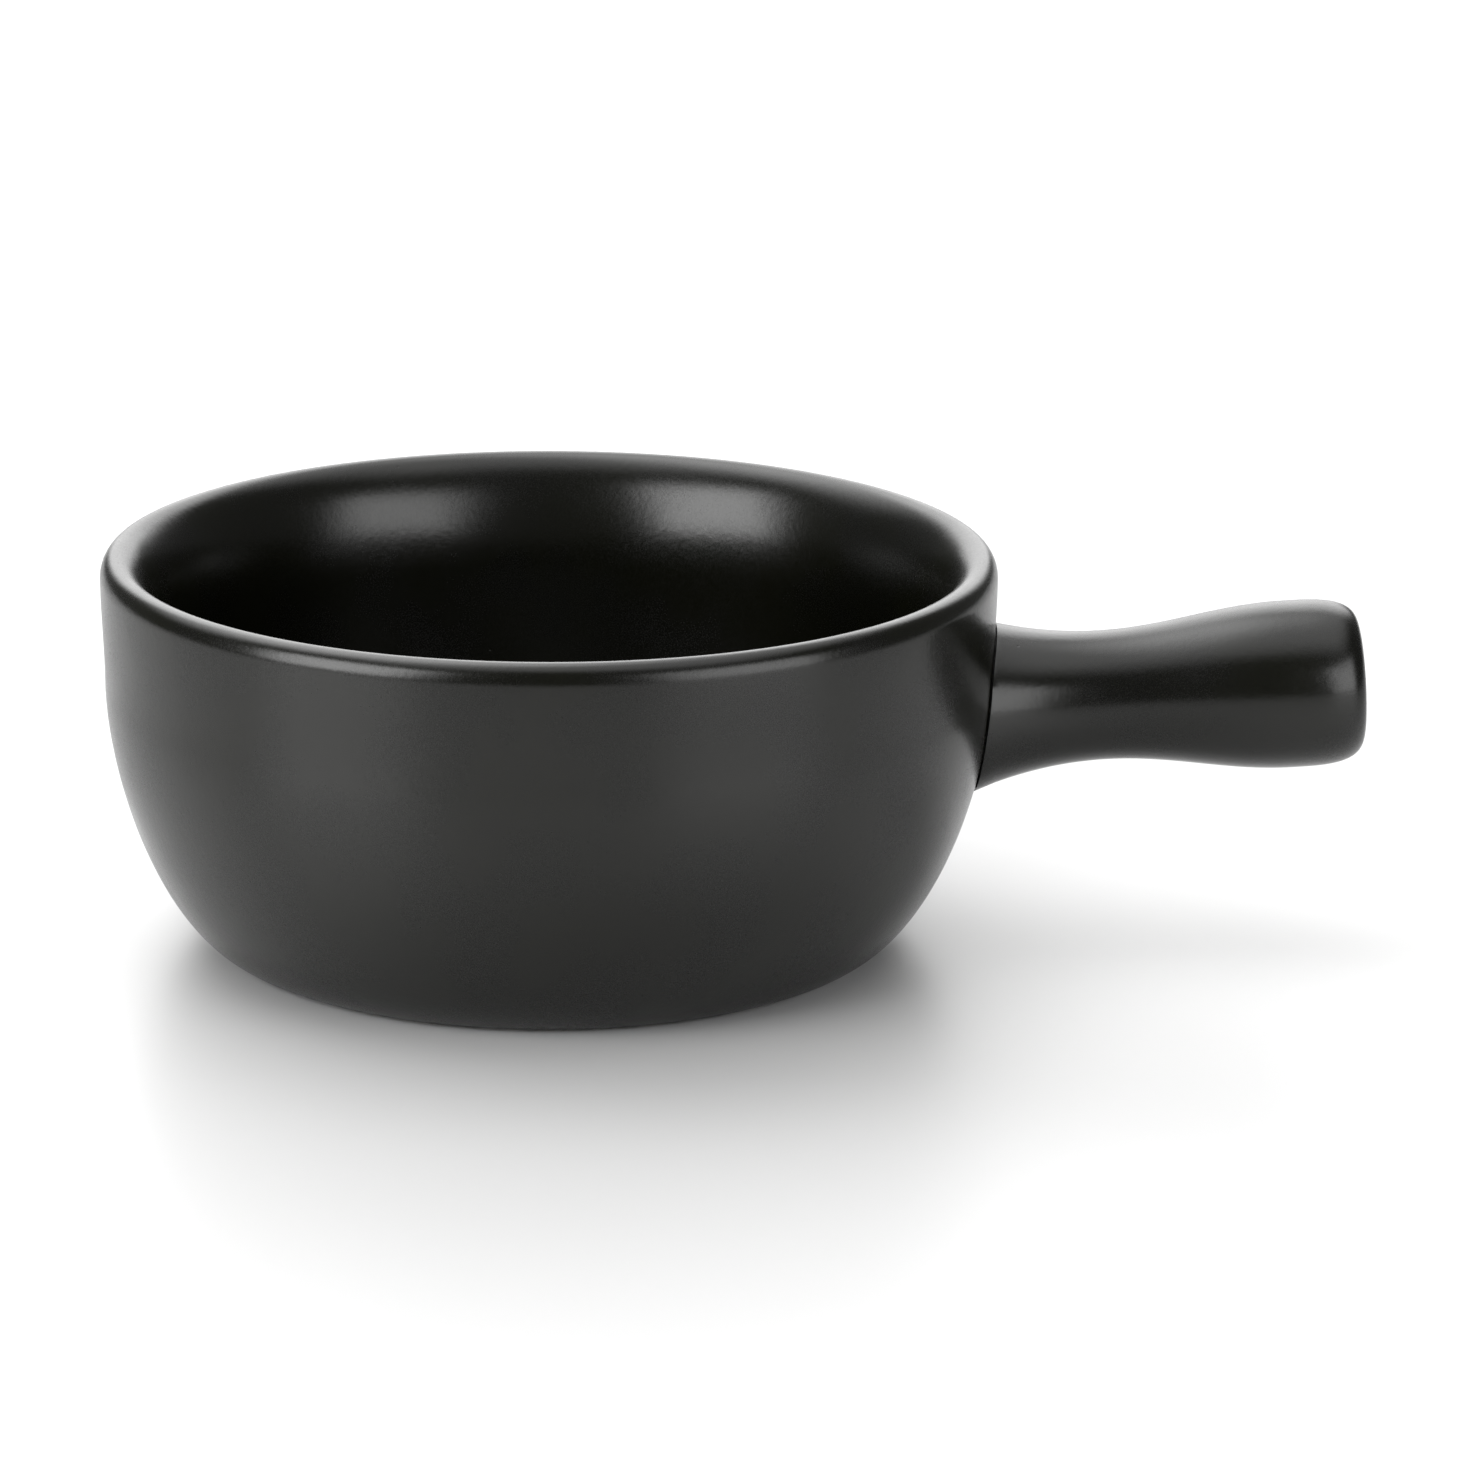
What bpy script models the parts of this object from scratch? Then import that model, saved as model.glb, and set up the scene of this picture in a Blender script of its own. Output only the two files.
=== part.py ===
"""Fondue pot in black glazed stoneware: a bowl, a hollow cast handle, and the slip that lutes it on.

Metres, +Z up. The origin is the centre of the ground base, on the bowl's axis, and the handle
points along +X.
"""

import math

import bmesh
import bpy
from mathutils import Matrix

# Bowl, outside: a flat base, a belly curved as a superellipse, a wall that leans out a little, and a rim
# rounded as a quarter of an ellipse up to its crest
RIM_RADIUS = 0.110
BOWL_HEIGHT = 0.0975
WALL_LEAN = 0.0008
WALL_RISE = 0.032
BASE_INSET = 0.031
BELLY_EXPONENT = 1.67
RIM_WIDTH = 0.0039
RIM_DEPTH = 0.0052

# Bowl, inside: a lip that rolls in from the rim's crest, a wall with little draft, and a flat floor
LIP_WIDTH = 0.0102
LIP_DEPTH = 0.029
WALL_DRAFT = math.radians(2)
WALL_SWEEP = 0.022
FLOOR_THICKNESS = 0.009
FLOOR_INSET = 0.009
FLOOR_SWEEP = 0.022

# Handle: turned about its own axis, along which places are measured out from the bowl's wall
HANDLE_DROP = 0.0385
HANDLE_TILT = math.radians(3.5)
HANDLE_LENGTH = 0.092
ROOT_RADIUS = 0.0202
NECK_RADIUS = 0.016
NECK_PLACE = 0.028
GRIP_RADIUS = 0.0207
END_ROUND_LENGTH = 0.018
END_FLAT_RADIUS = 0.0115
END_EXPONENT = 3.3
HANDLE_WALL = 0.006
END_WALL = 0.008
VENT_RADIUS = 0.002
VENT_PLACE = 0.020

# Joint between handle and bowl: a bed of slip, set back from both faces of the handle's wall
SLIP_THICKNESS = 0.0005
SLIP_SETBACK = 0.0008
SEAM_GAP = 0.0003

# Finish
GLAZE_COLOUR = (0.013, 0.013, 0.013)
GLAZE_ROUGHNESS = 0.25
SLIP_COLOUR = (0.008, 0.008, 0.008)
SLIP_ROUGHNESS = 0.6

# Facets
BOWL_STEPS = 72
HANDLE_STEPS = 40
BELLY_STEPS = 12
INSIDE_STEPS = 12
LIP_STEPS = 8
ROUND_STEPS = 4
FLARE_STEPS = 7
GRIP_STEPS = 8
END_STEPS = 6
VENT_STEPS = 16
WELD_DISTANCE = 1e-6
SHARP_ANGLE = math.radians(35)

# Sizes that follow from those above
BELLY_RADIUS = RIM_RADIUS - WALL_LEAN
BELLY_HEIGHT = BOWL_HEIGHT - WALL_RISE
BASE_RADIUS = RIM_RADIUS - BASE_INSET
FLOOR_RADIUS = BASE_RADIUS - FLOOR_INSET
CREST_RADIUS = RIM_RADIUS - RIM_WIDTH
HANDLE_HEIGHT = BOWL_HEIGHT - HANDLE_DROP
GRIP_PLACE = HANDLE_LENGTH - END_ROUND_LENGTH
ROOT_OVERRUN = ROOT_RADIUS


def spread(start, stop, steps):
    """Evenly spaced values from start to stop, both included."""
    return [start + (stop - start) * step / steps for step in range(steps + 1)]


def bowl_outside():
    """The bowl's outer wall as (radius, height), from under the rim's rounding down to the base's edge."""
    points = [(RIM_RADIUS, BOWL_HEIGHT - RIM_DEPTH)]
    for angle in spread(math.pi / 2, 0, BELLY_STEPS):
        across = math.sin(angle) ** (2 / BELLY_EXPONENT)
        down = math.cos(angle) ** (2 / BELLY_EXPONENT)
        radius = BASE_RADIUS + (BELLY_RADIUS - BASE_RADIUS) * across
        points.append((radius, BELLY_HEIGHT * (1 - down)))
    return points


def lip_point(angle):
    """A point of the lip's inner side as (radius, height), from the crest at angle 0 to the lip's foot."""
    depth = LIP_DEPTH * (1 - math.cos(angle))
    return CREST_RADIUS - LIP_WIDTH * math.sin(angle) - depth * math.tan(WALL_DRAFT), BOWL_HEIGHT - depth


def bowl_inside():
    """The bowl's inner wall as one cubic curve, from the floor's edge up to the lip's foot."""
    foot_radius, foot_height = lip_point(math.pi / 2)
    sweep_radius = foot_radius - WALL_SWEEP * math.sin(WALL_DRAFT)
    sweep_height = foot_height - WALL_SWEEP * math.cos(WALL_DRAFT)
    radii = (FLOOR_RADIUS, FLOOR_RADIUS + FLOOR_SWEEP, sweep_radius, foot_radius)
    heights = (FLOOR_THICKNESS, FLOOR_THICKNESS, sweep_height, foot_height)
    points = []
    for share in spread(0, 1, INSIDE_STEPS):
        rest = 1 - share
        weights = (rest**3, 3 * share * rest**2, 3 * share**2 * rest, share**3)
        radius = sum(weight * value for weight, value in zip(weights, radii))
        height = sum(weight * value for weight, value in zip(weights, heights))
        points.append((radius, height))
    return points


def bowl_profile():
    """The bowl's half section, from the floor's centre over the rim to the base's centre."""
    inside = [(0, FLOOR_THICKNESS)] + bowl_inside()
    lip = [lip_point(angle) for angle in spread(math.pi / 2, 0, LIP_STEPS)]
    rim_edge = [
        (CREST_RADIUS + RIM_WIDTH * math.sin(angle), BOWL_HEIGHT - RIM_DEPTH * (1 - math.cos(angle)))
        for angle in spread(0, math.pi / 2, ROUND_STEPS)
    ]
    outside = bowl_outside() + [(0, 0)]
    return inside + lip[1:] + rim_edge[1:-1] + outside


def envelope_profile(offset):
    """The bowl's outer wall grown by offset and carried up past the rim, as the section of a full solid."""
    wall = bowl_outside()
    before = wall[:1] + wall[:-1]
    after = wall[1:] + wall[-1:]
    grown = []
    for (radius, height), above, below in zip(wall, before, after):
        fall = above[1] - below[1]
        widening = below[0] - above[0]
        length = math.hypot(fall, widening)
        grown.append((radius + offset * fall / length, height + offset * widening / length))
    top = BOWL_HEIGHT + ROOT_OVERRUN
    return [(0, top), (grown[0][0], top)] + grown + [(0, grown[-1][1])]


def wall_radius_at(height):
    """Outside radius of the bowl's wall at a height."""
    wall = bowl_outside()
    for above, below in zip(wall, wall[1:]):
        if below[1] <= height <= above[1]:
            share = (above[1] - height) / (above[1] - below[1])
            return above[0] + (below[0] - above[0]) * share
    return RIM_RADIUS


def handle_radius(place):
    """Outside radius of the handle at a place along its axis."""
    if place < NECK_PLACE:
        return NECK_RADIUS + (ROOT_RADIUS - NECK_RADIUS) * ((NECK_PLACE - place) / NECK_PLACE) ** 2
    if place < GRIP_PLACE:
        share = (place - NECK_PLACE) / (GRIP_PLACE - NECK_PLACE)
        return NECK_RADIUS + (GRIP_RADIUS - NECK_RADIUS) * (1 - math.cos(math.pi * share)) / 2
    share = (place - GRIP_PLACE) / END_ROUND_LENGTH
    bulge = max(1 - share**END_EXPONENT, 0) ** (1 / END_EXPONENT)
    return END_FLAT_RADIUS + (GRIP_RADIUS - END_FLAT_RADIUS) * bulge


def handle_profile():
    """The handle's half section, from its end's centre down the outside and back up the cavity."""
    end_places = [
        GRIP_PLACE + END_ROUND_LENGTH * math.sin(angle) for angle in spread(math.pi / 2, 0, END_STEPS)
    ]
    grip_places = spread(GRIP_PLACE, NECK_PLACE, GRIP_STEPS)
    flare_places = spread(NECK_PLACE, -ROOT_OVERRUN, FLARE_STEPS)
    body_places = grip_places + flare_places[1:]
    outside = [(handle_radius(place), place) for place in end_places + body_places[1:]]
    cavity = [(handle_radius(place) - HANDLE_WALL, place) for place in reversed(body_places)]
    cap_radius = GRIP_RADIUS - HANDLE_WALL
    cap_length = END_ROUND_LENGTH - END_WALL
    cavity_cap = [
        (cap_radius * math.cos(angle), GRIP_PLACE + cap_length * math.sin(angle))
        for angle in spread(0, math.pi / 2, END_STEPS)
    ]
    return [(0, HANDLE_LENGTH)] + outside + cavity + cavity_cap[1:]


def slip_profile():
    """The slip's section as a ring that follows the handle's flare, longer than the bed it is trimmed to."""
    places = spread(NECK_PLACE, -ROOT_OVERRUN, FLARE_STEPS)
    outside = [(handle_radius(place) - SLIP_SETBACK, place) for place in places]
    inside = [(handle_radius(place) - HANDLE_WALL + SLIP_SETBACK, place) for place in reversed(places)]
    return outside + inside + outside[:1]


def finished(body):
    """Welds a bmesh's seams and poles, turns its faces outwards, and gives it as a smooth-shaded mesh."""
    bmesh.ops.remove_doubles(body, verts=body.verts, dist=WELD_DISTANCE)
    bmesh.ops.recalc_face_normals(body, faces=body.faces)
    mesh = bpy.data.meshes.new("solid")
    body.to_mesh(mesh)
    body.free()
    mesh.shade_smooth()
    mesh.set_sharp_from_angle(angle=SHARP_ANGLE)
    return mesh


def turned(profile, steps):
    """A mesh made by turning a profile of (radius, height) points about Z."""
    body = bmesh.new()
    corners = [body.verts.new((radius, 0, height)) for radius, height in profile]
    edges = [body.edges.new(pair) for pair in zip(corners, corners[1:])]
    section = corners + edges
    bmesh.ops.spin(body, geom=section, axis=(0, 0, 1), angle=math.tau, steps=steps, use_merge=True)
    return finished(body)


def drill(radius, length, steps):
    """A cylinder that runs from the origin along +X."""
    body = bmesh.new()
    bmesh.ops.create_cone(body, cap_ends=True, segments=steps, radius1=radius, radius2=radius, depth=length)
    bmesh.ops.translate(body, verts=body.verts, vec=(0, 0, length / 2))
    bmesh.ops.rotate(body, verts=body.verts, matrix=Matrix.Rotation(math.pi / 2, 3, "Y"))
    return finished(body)


def ceramic(name, colour, roughness):
    material = bpy.data.materials.new(name)
    material.use_nodes = True
    shader = material.node_tree.nodes["Principled BSDF"]
    shader.inputs["Base Color"].default_value = (*colour, 1)
    shader.inputs["Roughness"].default_value = roughness
    shader.inputs["Metallic"].default_value = 0
    return material


def add_object(name, mesh, parent, material=None):
    """Puts a mesh, or an empty where mesh is None, in the scene under parent."""
    piece = bpy.data.objects.new(name, mesh)
    piece.parent = parent
    bpy.context.collection.objects.link(piece)
    if material:
        mesh.materials.append(material)
    return piece


def add_cutter(name, mesh, parent):
    cutter = add_object(name, mesh, parent)
    cutter.display_type = "WIRE"
    cutter.hide_render = True
    return cutter


def trim(piece, cutter, operation):
    boolean = piece.modifiers.new(cutter.name, "BOOLEAN")
    boolean.operation = operation
    boolean.object = cutter
    boolean.solver = "EXACT"


def main():
    for piece in list(bpy.data.objects):
        bpy.data.objects.remove(piece)

    pot = add_object("fondue_pot", None, None)
    handle_axis = add_object("handle_axis", None, pot)
    handle_axis.location = (wall_radius_at(HANDLE_HEIGHT), 0, HANDLE_HEIGHT)
    handle_axis.rotation_euler.y = math.pi / 2 - HANDLE_TILT

    slip_near = SEAM_GAP
    slip_far = slip_near + SLIP_THICKNESS
    saddle = slip_far + SEAM_GAP
    slip_near_face = add_cutter("slip_near_face", turned(envelope_profile(slip_near), BOWL_STEPS), pot)
    slip_far_face = add_cutter("slip_far_face", turned(envelope_profile(slip_far), BOWL_STEPS), pot)
    saddle_face = add_cutter("saddle_face", turned(envelope_profile(saddle), BOWL_STEPS), pot)
    vent_reach = handle_radius(VENT_PLACE) + HANDLE_WALL
    vent = add_cutter("vent", drill(VENT_RADIUS, vent_reach, VENT_STEPS), handle_axis)
    vent.location.z = VENT_PLACE

    bowl_glaze = ceramic("bowl_glaze", GLAZE_COLOUR, GLAZE_ROUGHNESS)
    add_object("bowl", turned(bowl_profile(), BOWL_STEPS), pot, bowl_glaze)
    handle_glaze = ceramic("handle_glaze", GLAZE_COLOUR, GLAZE_ROUGHNESS)
    handle = add_object("handle", turned(handle_profile(), HANDLE_STEPS), handle_axis, handle_glaze)
    trim(handle, saddle_face, "DIFFERENCE")
    trim(handle, vent, "DIFFERENCE")
    dark_slip = ceramic("dark_slip", SLIP_COLOUR, SLIP_ROUGHNESS)
    slip = add_object("luting_slip", turned(slip_profile(), HANDLE_STEPS), handle_axis, dark_slip)
    trim(slip, slip_near_face, "DIFFERENCE")
    trim(slip, slip_far_face, "INTERSECT")


main()
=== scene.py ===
import math

import bpy
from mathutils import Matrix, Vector


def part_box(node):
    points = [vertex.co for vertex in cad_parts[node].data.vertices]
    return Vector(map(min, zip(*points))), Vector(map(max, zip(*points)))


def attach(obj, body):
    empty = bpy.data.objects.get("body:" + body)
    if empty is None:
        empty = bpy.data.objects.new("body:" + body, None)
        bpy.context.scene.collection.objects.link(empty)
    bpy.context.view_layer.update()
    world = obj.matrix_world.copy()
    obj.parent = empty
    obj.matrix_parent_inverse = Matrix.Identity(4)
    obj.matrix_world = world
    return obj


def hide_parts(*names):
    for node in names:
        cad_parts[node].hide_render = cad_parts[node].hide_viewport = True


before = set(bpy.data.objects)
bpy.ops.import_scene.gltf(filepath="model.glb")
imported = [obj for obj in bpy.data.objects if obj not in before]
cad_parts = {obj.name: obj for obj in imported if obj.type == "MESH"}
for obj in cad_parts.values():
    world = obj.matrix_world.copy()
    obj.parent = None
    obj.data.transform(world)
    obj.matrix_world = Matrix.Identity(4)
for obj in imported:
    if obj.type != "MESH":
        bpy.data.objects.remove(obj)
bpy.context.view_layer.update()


# The bowl: stoneware shaped on a wheel, with a wide flat base, a round belly, an almost
# upright wall and a thick rim that rolls in. It is dipped in black satin glaze inside and
# out, and its base is ground flat after firing, so bare clay shows there.
bowl_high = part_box("bowl")[1]
RIM_RADIUS = bowl_high.y
BOWL_HEIGHT = bowl_high.z
WALL_LEAN = 0.0008
WALL_RISE = 0.032
BELLY_EXPONENT = 1.67
BELLY_RADIUS = RIM_RADIUS - WALL_LEAN
BELLY_HEIGHT = BOWL_HEIGHT - WALL_RISE
RIM_WIDTH = 0.0039
RIM_DEPTH = 0.0052
CREST_RADIUS = RIM_RADIUS - RIM_WIDTH
LIP_WIDTH = 0.0102
LIP_DEPTH = 0.029
WALL_DRAFT = math.radians(2)
WALL_SWEEP = 0.022
BASE_INSET = 0.031
BASE_RADIUS = RIM_RADIUS - BASE_INSET
FLOOR_INSET = 0.009
FLOOR_RADIUS = BASE_RADIUS - FLOOR_INSET
FLOOR_THICKNESS = 0.009
FLOOR_SWEEP = 0.022
BELLY_STEPS = 44
WALL_STEPS = 12
RIM_STEPS = 14
LIP_STEPS = 32
SWEEP_STEPS = 36
BOWL_TURNS = 180
WELD = 0.000001
CREASE = math.radians(40)


def steps(count):
    """The shares from 0 to 1, both ends included, of a curve drawn in that many steps."""
    return [step / count for step in range(count + 1)]


def belly_and_wall():
    """The bowl's outside as (radius, height), from the edge of the base up to the rim's rounding."""
    outline = []
    for share in steps(BELLY_STEPS):
        turn = share * math.pi / 2
        bulge = math.sin(turn) ** (2 / BELLY_EXPONENT)
        rise = 1 - max(math.cos(turn), 0.0) ** (2 / BELLY_EXPONENT)
        outline.append((BASE_RADIUS + (BELLY_RADIUS - BASE_RADIUS) * bulge, BELLY_HEIGHT * rise))
    wall_top = BOWL_HEIGHT - RIM_DEPTH
    for share in steps(WALL_STEPS)[1:]:
        lean = WALL_LEAN * share * share * (3 - 2 * share)
        outline.append((BELLY_RADIUS + lean, BELLY_HEIGHT + (wall_top - BELLY_HEIGHT) * share))
    return outline


def rim_and_inside():
    """The rim's rounding, its lip and the inside wall as (radius, height), down to the floor's edge."""
    outline = []
    for share in steps(RIM_STEPS)[1:]:
        turn = share * math.pi / 2
        radius = CREST_RADIUS + RIM_WIDTH * math.cos(turn)
        outline.append((radius, BOWL_HEIGHT - RIM_DEPTH * (1 - math.sin(turn))))
    for share in steps(LIP_STEPS)[1:]:
        turn = share * math.pi / 2
        depth = LIP_DEPTH * (1 - math.cos(turn))
        radius = CREST_RADIUS - LIP_WIDTH * math.sin(turn) - depth * math.tan(WALL_DRAFT)
        outline.append((radius, BOWL_HEIGHT - depth))
    lip_foot = Vector(outline[-1])
    wall_pull = lip_foot - WALL_SWEEP * Vector((math.sin(WALL_DRAFT), math.cos(WALL_DRAFT)))
    floor_edge = Vector((FLOOR_RADIUS, FLOOR_THICKNESS))
    floor_pull = floor_edge + Vector((FLOOR_SWEEP, 0))
    for share in steps(SWEEP_STEPS)[1:]:
        rest = 1 - share
        point = rest**3 * lip_foot + 3 * rest**2 * share * wall_pull
        point += 3 * rest * share**2 * floor_pull + share**3 * floor_edge
        outline.append(tuple(point))
    return outline


def throw(name, outline, turns, foot, axis, side):
    """Draws an outline of (radius, height) edge by edge and spins it about its axis, as on a wheel."""
    foot, axis, side = Vector(foot), Vector(axis), Vector(side)
    places = [foot + axis * height + side * radius for radius, height in outline]
    bpy.ops.object.select_all(action="DESELECT")
    bpy.ops.mesh.primitive_plane_add()
    piece = bpy.context.object
    piece.name = name
    bpy.ops.object.mode_set(mode="EDIT")
    bpy.ops.mesh.select_all(action="SELECT")
    bpy.ops.mesh.merge(type="CENTER")
    bpy.ops.transform.translate(value=places[0])
    for place, following in zip(places, places[1:]):
        bpy.ops.mesh.extrude_vertices_move(TRANSFORM_OT_translate={"value": following - place})
    bpy.ops.mesh.select_all(action="SELECT")
    bpy.ops.mesh.spin(steps=turns, angle=2 * math.pi, center=foot, axis=axis)
    bpy.ops.mesh.select_all(action="SELECT")
    bpy.ops.mesh.remove_doubles(threshold=WELD)
    bpy.ops.mesh.normals_make_consistent(inside=False)
    bpy.ops.object.mode_set(mode="OBJECT")
    return piece


def smooth(piece):
    """Shades a piece smooth except where its faces meet at a crease."""
    bpy.ops.object.select_all(action="DESELECT")
    piece.select_set(True)
    bpy.context.view_layer.objects.active = piece
    bpy.ops.object.shade_smooth_by_angle(angle=CREASE)


def add_node(tree, kind, settings, inputs):
    """Adds a node, sets its properties, and gives each named input a value or a link from a socket."""
    node = tree.nodes.new(kind)
    for name, value in settings.items():
        setattr(node, name, value)
    for name, value in inputs.items():
        if isinstance(value, bpy.types.NodeSocket):
            tree.links.new(value, node.inputs[name])
        else:
            node.inputs[name].default_value = value
    return node


def noise(tree, place, scale, detail):
    """A cloud of noise on a piece's own coordinates, from 0 to 1."""
    inputs = {"Vector": place, "Scale": scale, "Detail": detail}
    return add_node(tree, "ShaderNodeTexNoise", {}, inputs).outputs[0]


def ease(tree, value, span, result):
    """Eases from the first result to the second as a value crosses a span, and holds it outside."""
    low, high = span
    start, end = result
    settings = {"interpolation_type": "SMOOTHSTEP"}
    inputs = {"Value": value, "From Min": low, "From Max": high, "To Min": start, "To Max": end}
    return add_node(tree, "ShaderNodeMapRange", settings, inputs).outputs["Result"]


def calculate(tree, operation, first, second):
    """Adds or multiplies two values."""
    return add_node(tree, "ShaderNodeMath", {"operation": operation}, {0: first, 1: second}).outputs[0]


def blend_colour(tree, share, first, second):
    """Mixes two colours by a share."""
    inputs = {0: share, 6: first, 7: second}
    return add_node(tree, "ShaderNodeMix", {"data_type": "RGBA"}, inputs).outputs[2]


def blend_value(tree, share, first, second):
    """Mixes two values by a share."""
    inputs = {0: share, 2: first, 3: second}
    return add_node(tree, "ShaderNodeMix", {"data_type": "FLOAT"}, inputs).outputs[0]


# Satin glaze as a group: cloudy pooling, a skin like orange peel, fine matting crystals
# and a few pinholes.
CLOUD_SCALE = 42
PEEL_SCALE = 620
CRYSTAL_SCALE = 2600
PINHOLE_SCALE = 130
PINHOLE_REACH = (0.02, 0.06)
PINHOLE_CHOICE = (0.86, 0.9)
PINHOLE_DEPTH = 4.0
POOLING_SPAN = (0.35, 0.65)
DULL_SPAN = (0.3, 0.7)
CLOUD_DULLNESS = 0.03
CRYSTAL_DULLNESS = 0.04
SKIN_SPAN = (0.2, 0.8)
CRYSTAL_HEIGHT = 0.25
satin_glaze = bpy.data.node_groups.new("satin_glaze", "ShaderNodeTree")
satin_glaze.interface.new_socket("Place", in_out="INPUT", socket_type="NodeSocketVector")
satin_glaze.interface.new_socket("Thin", in_out="INPUT", socket_type="NodeSocketColor")
satin_glaze.interface.new_socket("Pooled", in_out="INPUT", socket_type="NodeSocketColor")
satin_glaze.interface.new_socket("Dullness", in_out="INPUT", socket_type="NodeSocketFloat")
satin_glaze.interface.new_socket("Colour", in_out="OUTPUT", socket_type="NodeSocketColor")
satin_glaze.interface.new_socket("Roughness", in_out="OUTPUT", socket_type="NodeSocketFloat")
satin_glaze.interface.new_socket("Height", in_out="OUTPUT", socket_type="NodeSocketFloat")
glaze_in = satin_glaze.nodes.new("NodeGroupInput")
glaze_out = satin_glaze.nodes.new("NodeGroupOutput")
place = glaze_in.outputs["Place"]
cloud = noise(satin_glaze, place, CLOUD_SCALE, 4)
peel = noise(satin_glaze, place, PEEL_SCALE, 2)
crystal = noise(satin_glaze, place, CRYSTAL_SCALE, 2)
pin = add_node(satin_glaze, "ShaderNodeTexVoronoi", {}, {"Vector": place, "Scale": PINHOLE_SCALE})
pin_colour = add_node(satin_glaze, "ShaderNodeSeparateColor", {}, {"Color": pin.outputs["Color"]})
pin_near = ease(satin_glaze, pin.outputs["Distance"], PINHOLE_REACH, (1.0, 0.0))
pin_chosen = ease(satin_glaze, pin_colour.outputs[0], PINHOLE_CHOICE, (0.0, 1.0))
pinhole = calculate(satin_glaze, "MULTIPLY", pin_near, pin_chosen)
pooling = ease(satin_glaze, cloud, POOLING_SPAN, (0.0, 1.0))
glaze_colour = blend_colour(satin_glaze, pooling, glaze_in.outputs["Thin"], glaze_in.outputs["Pooled"])
cloud_dull = ease(satin_glaze, cloud, DULL_SPAN, (-CLOUD_DULLNESS, CLOUD_DULLNESS))
crystal_dull = ease(satin_glaze, crystal, DULL_SPAN, (-CRYSTAL_DULLNESS, CRYSTAL_DULLNESS))
uneven_dull = calculate(satin_glaze, "ADD", cloud_dull, crystal_dull)
dullness = calculate(satin_glaze, "ADD", glaze_in.outputs["Dullness"], uneven_dull)
peel_height = ease(satin_glaze, peel, SKIN_SPAN, (0.0, 1.0))
crystal_height = ease(satin_glaze, crystal, SKIN_SPAN, (0.0, CRYSTAL_HEIGHT))
skin_height = calculate(satin_glaze, "ADD", peel_height, crystal_height)
pin_height = ease(satin_glaze, pinhole, (0.0, 1.0), (0.0, -PINHOLE_DEPTH))
glaze_height = calculate(satin_glaze, "ADD", skin_height, pin_height)
satin_glaze.links.new(glaze_colour, glaze_out.inputs["Colour"])
satin_glaze.links.new(dullness, glaze_out.inputs["Roughness"])
satin_glaze.links.new(glaze_height, glaze_out.inputs["Height"])

THIN_GLAZE = (0.0026, 0.0028, 0.0010, 1.0)
POOLED_GLAZE = (0.0012, 0.0013, 0.0004, 1.0)
GLAZE_DULLNESS = 0.24
GLAZE_RELIEF = 0.000012


def start_material(name):
    """A new material with its Principled shader and the piece's own Object coordinates."""
    material = bpy.data.materials.new(name)
    material.use_nodes = True
    tree = material.node_tree
    coordinates = tree.nodes.new("ShaderNodeTexCoord").outputs["Object"]
    return material, tree, tree.nodes["Principled BSDF"], coordinates


def add_glaze(tree, place):
    """Places the satin glaze in a material with the pot's own colours."""
    inputs = {"Place": place, "Thin": THIN_GLAZE, "Pooled": POOLED_GLAZE, "Dullness": GLAZE_DULLNESS}
    return add_node(tree, "ShaderNodeGroup", {"node_tree": satin_glaze}, inputs)


def add_relief(tree, shader, height, depth):
    """Gives a shader the bumps of a height, as deep as the depth."""
    bump = add_node(tree, "ShaderNodeBump", {}, {"Height": height, "Distance": depth})
    tree.links.new(bump.outputs["Normal"], shader.inputs["Normal"])


# Under the base the glaze stops at a line that wanders a little, and the clay is bare, with
# coarse grog and the rings of the grinding.
BARE_CLAY = (0.16, 0.13, 0.105, 1.0)
GROUND_CLAY = (0.21, 0.175, 0.145, 1.0)
CLAY_ROUGHNESS = 0.85
CLAY_DEPTH = 3.0
GLAZE_LINE = 0.0002
LINE_SOFTNESS = 0.00005
LINE_WANDER = 0.00012
LINE_SCALE = 90
LINE_SPAN = (0.3, 0.7)
GROG_SCALE = 1500
GROG_SPAN = (0.4, 0.65)
RING_PATTERN = {"Scale": 180, "Distortion": 1.5, "Detail": 3, "Detail Scale": 2}
bowl_finish, tree, shader, place = start_material("bowl_glaze")
glaze = add_glaze(tree, place)
height = add_node(tree, "ShaderNodeSeparateXYZ", {}, {0: place}).outputs["Z"]
wander = ease(tree, noise(tree, place, LINE_SCALE, 3), LINE_SPAN, (-LINE_WANDER, LINE_WANDER))
line_height = calculate(tree, "ADD", height, wander)
bare = ease(tree, line_height, (GLAZE_LINE - LINE_SOFTNESS, GLAZE_LINE + LINE_SOFTNESS), (1.0, 0.0))
grog = ease(tree, noise(tree, place, GROG_SCALE, 4), GROG_SPAN, (0.0, 1.0))
ring_kind = {"wave_type": "RINGS", "rings_direction": "Z"}
rings = add_node(tree, "ShaderNodeTexWave", ring_kind, {"Vector": place, **RING_PATTERN})
clay = blend_colour(tree, grog, BARE_CLAY, GROUND_CLAY)
clay_height = calculate(tree, "ADD", grog, rings.outputs["Fac"])
clay_relief = ease(tree, clay_height, (0.0, 2.0), (-CLAY_DEPTH, 0.0))
bowl_colour = blend_colour(tree, bare, glaze.outputs["Colour"], clay)
bowl_roughness = blend_value(tree, bare, glaze.outputs["Roughness"], CLAY_ROUGHNESS)
tree.links.new(bowl_colour, shader.inputs["Base Color"])
tree.links.new(bowl_roughness, shader.inputs["Roughness"])
add_relief(tree, shader, blend_value(tree, bare, glaze.outputs["Height"], clay_relief), GLAZE_RELIEF)

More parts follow.
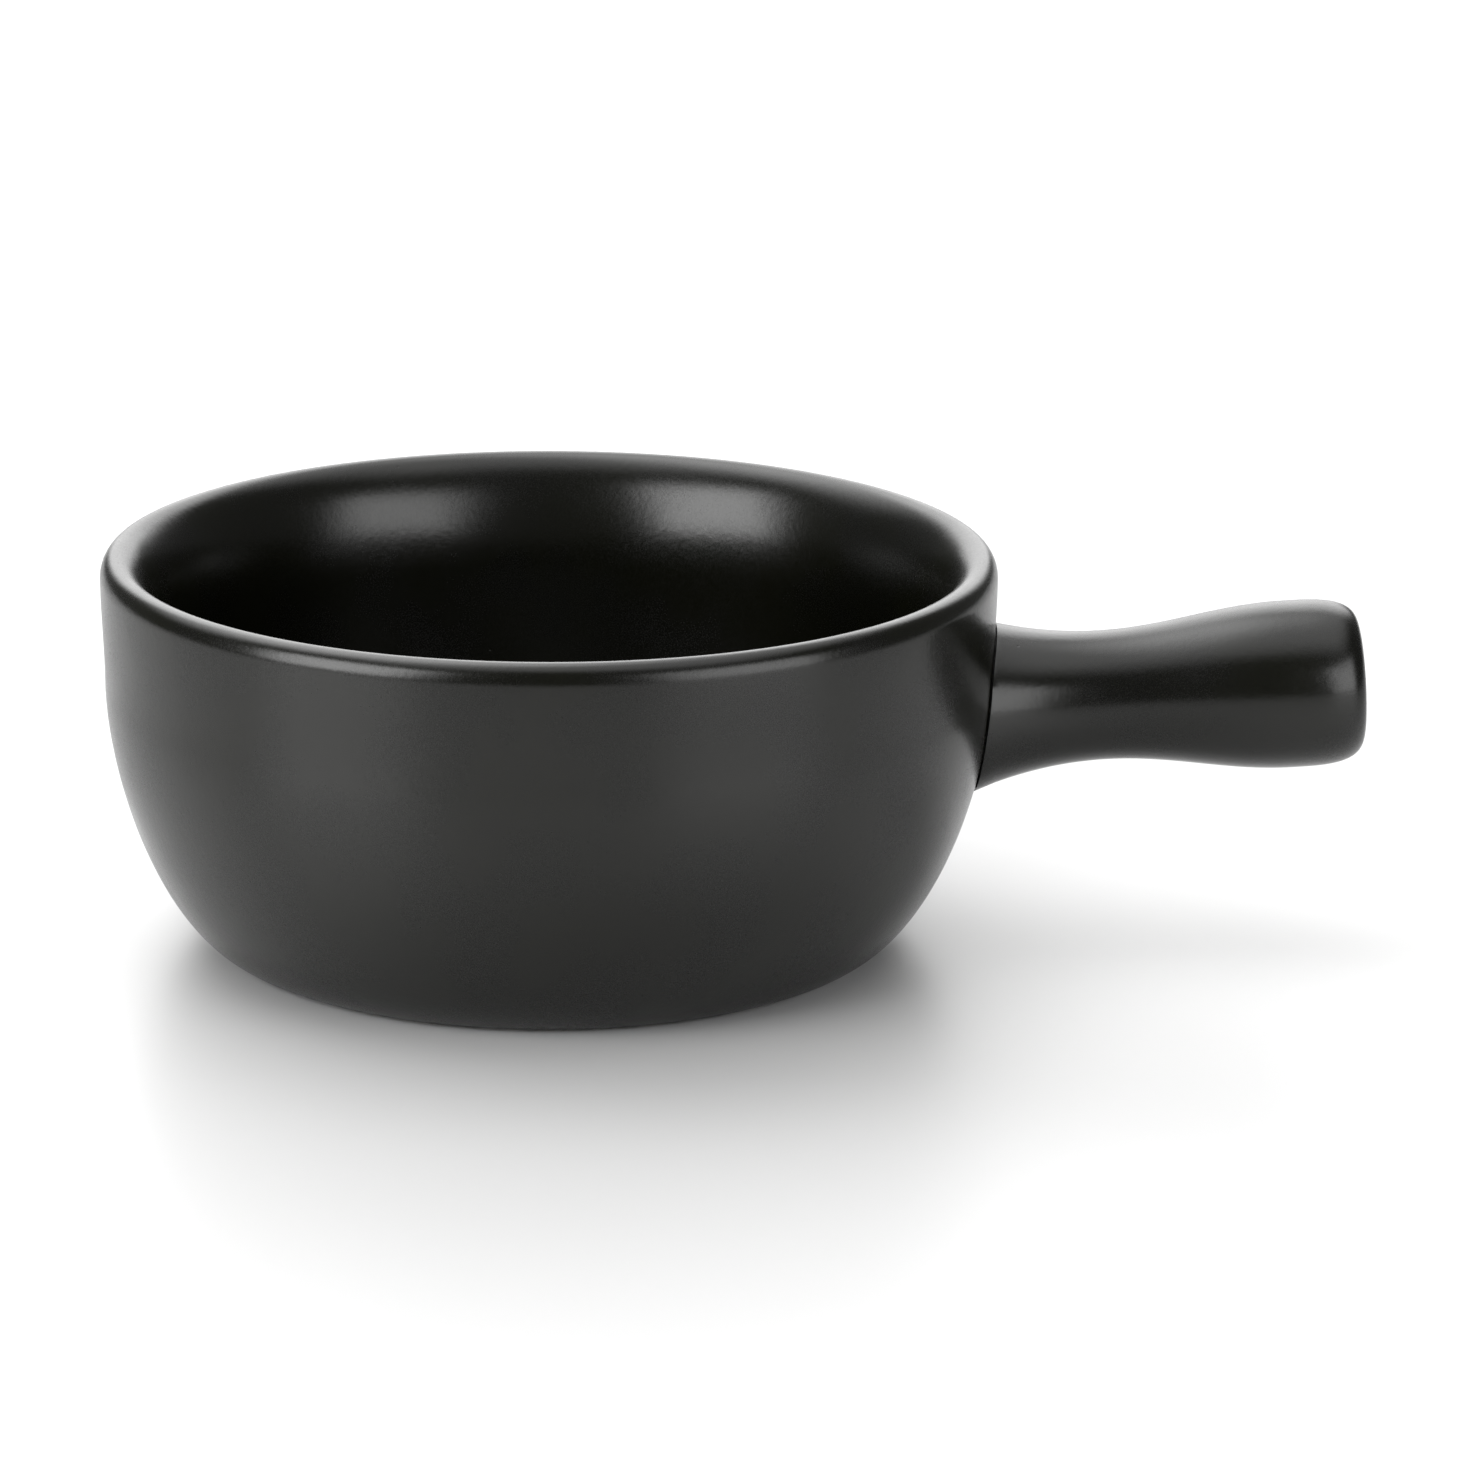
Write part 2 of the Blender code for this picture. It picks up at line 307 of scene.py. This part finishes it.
bowl_outline = [(0, 0)] + belly_and_wall() + rim_and_inside() + [(0, FLOOR_THICKNESS)]
bowl = throw("bowl_glazed", bowl_outline, BOWL_TURNS, (0, 0, 0), (0, 0, 1), (1, 0, 0))
smooth(bowl)
bowl.data.materials.append(bowl_finish)
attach(bowl, "root")
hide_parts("bowl")


# The handle: a stick of the same stoneware, cast hollow, wide at its root, waisted for
# the fingers and closed by a rounded end. It is cut to the bowl's curve and luted on, and
# a small hole under its neck lets air out in the kiln.
handle_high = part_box("handle")[1]
HANDLE_DROP = 0.0385
HANDLE_HEIGHT = BOWL_HEIGHT - HANDLE_DROP
HANDLE_TILT = math.radians(3.5)
HANDLE_LENGTH = 0.092
ROOT_RADIUS = 0.0202
NECK_RADIUS = 0.016
NECK_PLACE = 0.028
GRIP_RADIUS = 0.0207
END_ROUND_LENGTH = 0.018
GRIP_PLACE = HANDLE_LENGTH - END_ROUND_LENGTH
END_FLAT_RADIUS = 0.0115
END_EXPONENT = 3.3
VENT_RADIUS = 0.002
VENT_PLACE = 0.020
VENT_DEPTH = 0.007
VENT_TURNS = 32
SEAM_WIDTH = 0.0005
SEAM_ROUND = 0.0004
SEAM_ROUND_STEPS = 3
SHARP_EDGE = math.radians(45)
SLIVER = 0.000005
STICK_STEPS = 48
END_STEPS = 24
HANDLE_TURNS = 112
handle_along = Vector((math.cos(HANDLE_TILT), 0, math.sin(HANDLE_TILT)))
handle_down = Vector((math.sin(HANDLE_TILT), 0, -math.cos(HANDLE_TILT)))


def handle_radius(place):
    """The handle's radius at a place along it, measured from the bowl's wall."""
    if place < NECK_PLACE:
        return NECK_RADIUS + (ROOT_RADIUS - NECK_RADIUS) * ((NECK_PLACE - place) / NECK_PLACE) ** 2
    if place < GRIP_PLACE:
        share = (place - NECK_PLACE) / (GRIP_PLACE - NECK_PLACE)
        return NECK_RADIUS + (GRIP_RADIUS - NECK_RADIUS) * (1 - math.cos(math.pi * share)) / 2
    share = min((place - GRIP_PLACE) / END_ROUND_LENGTH, 1.0)
    fullness = (1 - share**END_EXPONENT) ** (1 / END_EXPONENT)
    return END_FLAT_RADIUS + (GRIP_RADIUS - END_FLAT_RADIUS) * fullness


def bowl_cutter(name, clearance):
    """The bowl's outside grown by a clearance, to cut what is fitted against it."""
    outline = belly_and_wall()
    grown = []
    for before, here, after in zip(outline, outline[1:], outline[2:]):
        slope = Vector((after[0] - before[0], after[1] - before[1])).normalized()
        grown.append((here[0] + slope[1] * clearance, here[1] - slope[0] * clearance))
    grown = [(0, grown[0][1])] + grown + [(0, grown[-1][1])]
    return throw(name, grown, BOWL_TURNS, (0, 0, 0), (0, 0, 1), (1, 0, 0))


def cut_with(piece, cutter, operation):
    """Cuts a piece with a cutter, throws the cutter away and merges the slivers that the cut leaves."""
    cut = piece.modifiers.new("cut", "BOOLEAN")
    cut.operation = operation
    cut.object = cutter
    bpy.context.view_layer.objects.active = piece
    bpy.ops.object.modifier_apply(modifier=cut.name)
    bpy.data.objects.remove(cutter)
    bpy.ops.object.mode_set(mode="EDIT")
    bpy.ops.mesh.select_all(action="SELECT")
    bpy.ops.mesh.remove_doubles(threshold=SLIVER)
    bpy.ops.mesh.dissolve_degenerate(threshold=SLIVER)
    bpy.ops.object.mode_set(mode="OBJECT")


handle_outline = [(0, -ROOT_RADIUS)]
handle_outline += [(handle_radius(place), place) for place in (-ROOT_RADIUS, -ROOT_RADIUS / 2)]
handle_outline += [(handle_radius(GRIP_PLACE * share), GRIP_PLACE * share) for share in steps(STICK_STEPS)]
for share in steps(END_STEPS)[1:]:
    place = GRIP_PLACE + END_ROUND_LENGTH * math.sin(share * math.pi / 2)
    handle_outline.append((handle_radius(place), place))
handle_outline.append((0, HANDLE_LENGTH))
handle_reach = max(place * handle_along.x + radius * handle_down.x for radius, place in handle_outline)
handle_root = Vector((handle_high.x - handle_reach, 0, HANDLE_HEIGHT))
handle = throw("handle_glazed", handle_outline, HANDLE_TURNS, handle_root, handle_along, handle_down)
cut_with(handle, bowl_cutter("seam_cutter", SEAM_WIDTH), "DIFFERENCE")
vent_foot = handle_root + handle_along * VENT_PLACE
vent_top = handle_radius(VENT_PLACE) - VENT_DEPTH
vent_end = handle_radius(VENT_PLACE) + VENT_DEPTH
vent_outline = [(0, vent_top), (VENT_RADIUS, vent_top), (VENT_RADIUS, vent_end), (0, vent_end)]
vent = throw("vent_cutter", vent_outline, VENT_TURNS, vent_foot, handle_down, handle_along)
cut_with(handle, vent, "DIFFERENCE")
rounding = handle.modifiers.new("rounding", "BEVEL")
rounding.width = SEAM_ROUND
rounding.segments = SEAM_ROUND_STEPS
rounding.limit_method = "ANGLE"
rounding.angle_limit = SHARP_EDGE
bpy.ops.object.modifier_apply(modifier=rounding.name)
smooth(handle)

handle_finish, tree, shader, place = start_material("handle_glaze")
glaze = add_glaze(tree, place)
tree.links.new(glaze.outputs["Colour"], shader.inputs["Base Color"])
tree.links.new(glaze.outputs["Roughness"], shader.inputs["Roughness"])
add_relief(tree, shader, glaze.outputs["Height"], GLAZE_RELIEF)
handle.data.materials.append(handle_finish)
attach(handle, "root")
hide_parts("handle")


# The luting slip: a ring of wet clay that glued the handle on, fired black and dull, at
# the bottom of the thin seam round the handle's root.
SLIP_GAP = 0.0001
SLIP_THICKNESS = 0.0003
SLIP_SETBACK = 0.0008
SLIP_WIDTH = 0.0044
SLIP_STEPS = 12
SLIP_FINE = (0.002, 0.002, 0.002, 1.0)
SLIP_COARSE = (0.005, 0.005, 0.0045, 1.0)
SLIP_ROUGHNESS = (0.6, 0.8)
SLIP_RELIEF = 0.00006
GRIT_SCALE = 1800
GRIT_SPAN = (0.35, 0.65)
slip_places = [ROOT_RADIUS * (share - 0.5) for share in steps(SLIP_STEPS)]
slip_outline = [(handle_radius(place) - SLIP_SETBACK, place) for place in slip_places]
slip_outline += [(radius - SLIP_WIDTH, place) for radius, place in reversed(slip_outline)]
slip_outline.append(slip_outline[0])
slip = throw("slip_fired", slip_outline, HANDLE_TURNS, handle_root, handle_along, handle_down)
cut_with(slip, bowl_cutter("slip_near_cutter", SLIP_GAP), "DIFFERENCE")
cut_with(slip, bowl_cutter("slip_far_cutter", SLIP_GAP + SLIP_THICKNESS), "INTERSECT")
smooth(slip)

slip_finish, tree, shader, place = start_material("dark_slip")
grit = ease(tree, noise(tree, place, GRIT_SCALE, 4), GRIT_SPAN, (0.0, 1.0))
tree.links.new(blend_colour(tree, grit, SLIP_FINE, SLIP_COARSE), shader.inputs["Base Color"])
tree.links.new(ease(tree, grit, (0.0, 1.0), SLIP_ROUGHNESS), shader.inputs["Roughness"])
add_relief(tree, shader, grit, SLIP_RELIEF)
slip.data.materials.append(slip_finish)
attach(slip, "root")
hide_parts("luting_slip")


# The table: a wide top painted white, with a satin finish whose tone varies a very little.
# The pot stands free on it, and no edge of it is in view.
TABLE_SIZE = 12.0
TABLE_WHITE = (0.59, 0.61)
TABLE_ROUGHNESS = 0.38
TONE_SCALE = 3
TONE_SPAN = (0.3, 0.7)
table_finish, tree, shader, place = start_material("white_table")
table_white = ease(tree, noise(tree, place, TONE_SCALE, 2), TONE_SPAN, TABLE_WHITE)
tree.links.new(table_white, shader.inputs["Base Color"])
shader.inputs["Roughness"].default_value = TABLE_ROUGHNESS
bpy.ops.object.select_all(action="DESELECT")
bpy.ops.mesh.primitive_plane_add(size=TABLE_SIZE)
table = bpy.context.object
table.name = "table"
table.data.materials.append(table_finish)


# The light: a pale ceiling, a large soft box overhead at the back left, another behind over
# a low lit backdrop, and one on each side of the camera, the left one stronger. Each fades
# towards its edges.
POT_MIDDLE = (0, 0, 0.05)
UNDER_CEILING = (0.1, 0.3, 0)
ROOM_TONE = (0.12, 0.12, 0.12, 1.0)
LAMP_MIDDLE = (0.5, 0.5, 0)


def soft_light(name, centre, aim, width, depth, brightness, fade):
    """A rectangular lamp of an even brightness that fades over a share of its width and depth."""
    bpy.ops.object.light_add(type="AREA", location=centre)
    lamp = bpy.context.object
    lamp.name = name
    lamp.data.shape = "RECTANGLE"
    lamp.data.size = width
    lamp.data.size_y = depth
    lamp.data.energy = brightness * width * depth * math.pi
    lamp.rotation_euler = (Vector(aim) - Vector(centre)).to_track_quat("-Z", "Y").to_euler()
    lamp.data.use_nodes = True
    tree = lamp.data.node_tree
    spot = tree.nodes.new("ShaderNodeNewGeometry").outputs["Parametric"]
    offset = add_node(tree, "ShaderNodeVectorMath", {"operation": "SUBTRACT"}, {0: spot, 1: LAMP_MIDDLE})
    reach = add_node(tree, "ShaderNodeVectorMath", {"operation": "ABSOLUTE"}, {0: offset.outputs[0]})
    sides = add_node(tree, "ShaderNodeSeparateXYZ", {}, {0: reach.outputs[0]})
    fading = (0.5 - fade / 2, 0.5)
    across = ease(tree, sides.outputs["X"], fading, (1.0, 0.0))
    along = ease(tree, sides.outputs["Y"], fading, (1.0, 0.0))
    glow = calculate(tree, "MULTIPLY", across, along)
    tree.links.new(glow, tree.nodes["Emission"].inputs["Strength"])


soft_light("ceiling", (0.1, 0.3, 2.3), UNDER_CEILING, 4.6, 4.8, 1.5, 0.7)
soft_light("top_box", (-0.5, 0.5, 1.25), POT_MIDDLE, 2.1, 2.1, 3.4, 0.9)
soft_light("back_box", (0.09, 2.5, 1.49), POT_MIDDLE, 4.2, 2.5, 3.0, 0.6)
soft_light("backdrop", (0, 2.6, 0.35), POT_MIDDLE, 2.0, 0.7, 1.7, 0.3)
soft_light("left_box", (-0.78, -0.585, 0.44), POT_MIDDLE, 0.95, 0.88, 6.3, 0.5)
soft_light("right_box", (0.73, -0.66, 0.33), POT_MIDDLE, 0.95, 0.8, 3.3, 0.5)

room = bpy.data.worlds.new("room")
room.use_nodes = True
room.node_tree.nodes["Background"].inputs["Color"].default_value = ROOM_TONE
bpy.context.scene.world = room


# The camera: a long lens a little above the rim, square to the handle, aimed between the
# bowl's axis and the handle.
CAMERA_DISTANCE = 1.5885
CAMERA_LIFT = math.radians(15.77)
CAMERA_TURN = math.radians(-1.652)
CAMERA_PITCH = math.radians(0.0208)
CAMERA_LENS = 157.1
SENSOR_WIDTH = 36.0
AIM_HEIGHT = 0.0496
camera_data = bpy.data.cameras.new("camera")
camera_data.lens = CAMERA_LENS
camera_data.sensor_width = SENSOR_WIDTH
camera = bpy.data.objects.new("camera", camera_data)
bpy.context.scene.collection.objects.link(camera)
back_off = CAMERA_DISTANCE * math.cos(CAMERA_LIFT)
camera.location = (0, -back_off, AIM_HEIGHT + CAMERA_DISTANCE * math.sin(CAMERA_LIFT))
camera.rotation_mode = "ZYX"
camera.rotation_euler = (math.pi / 2 - CAMERA_LIFT + CAMERA_PITCH, CAMERA_TURN, 0)
bpy.context.scene.camera = camera
bpy.context.scene.view_settings.view_transform = "Standard"
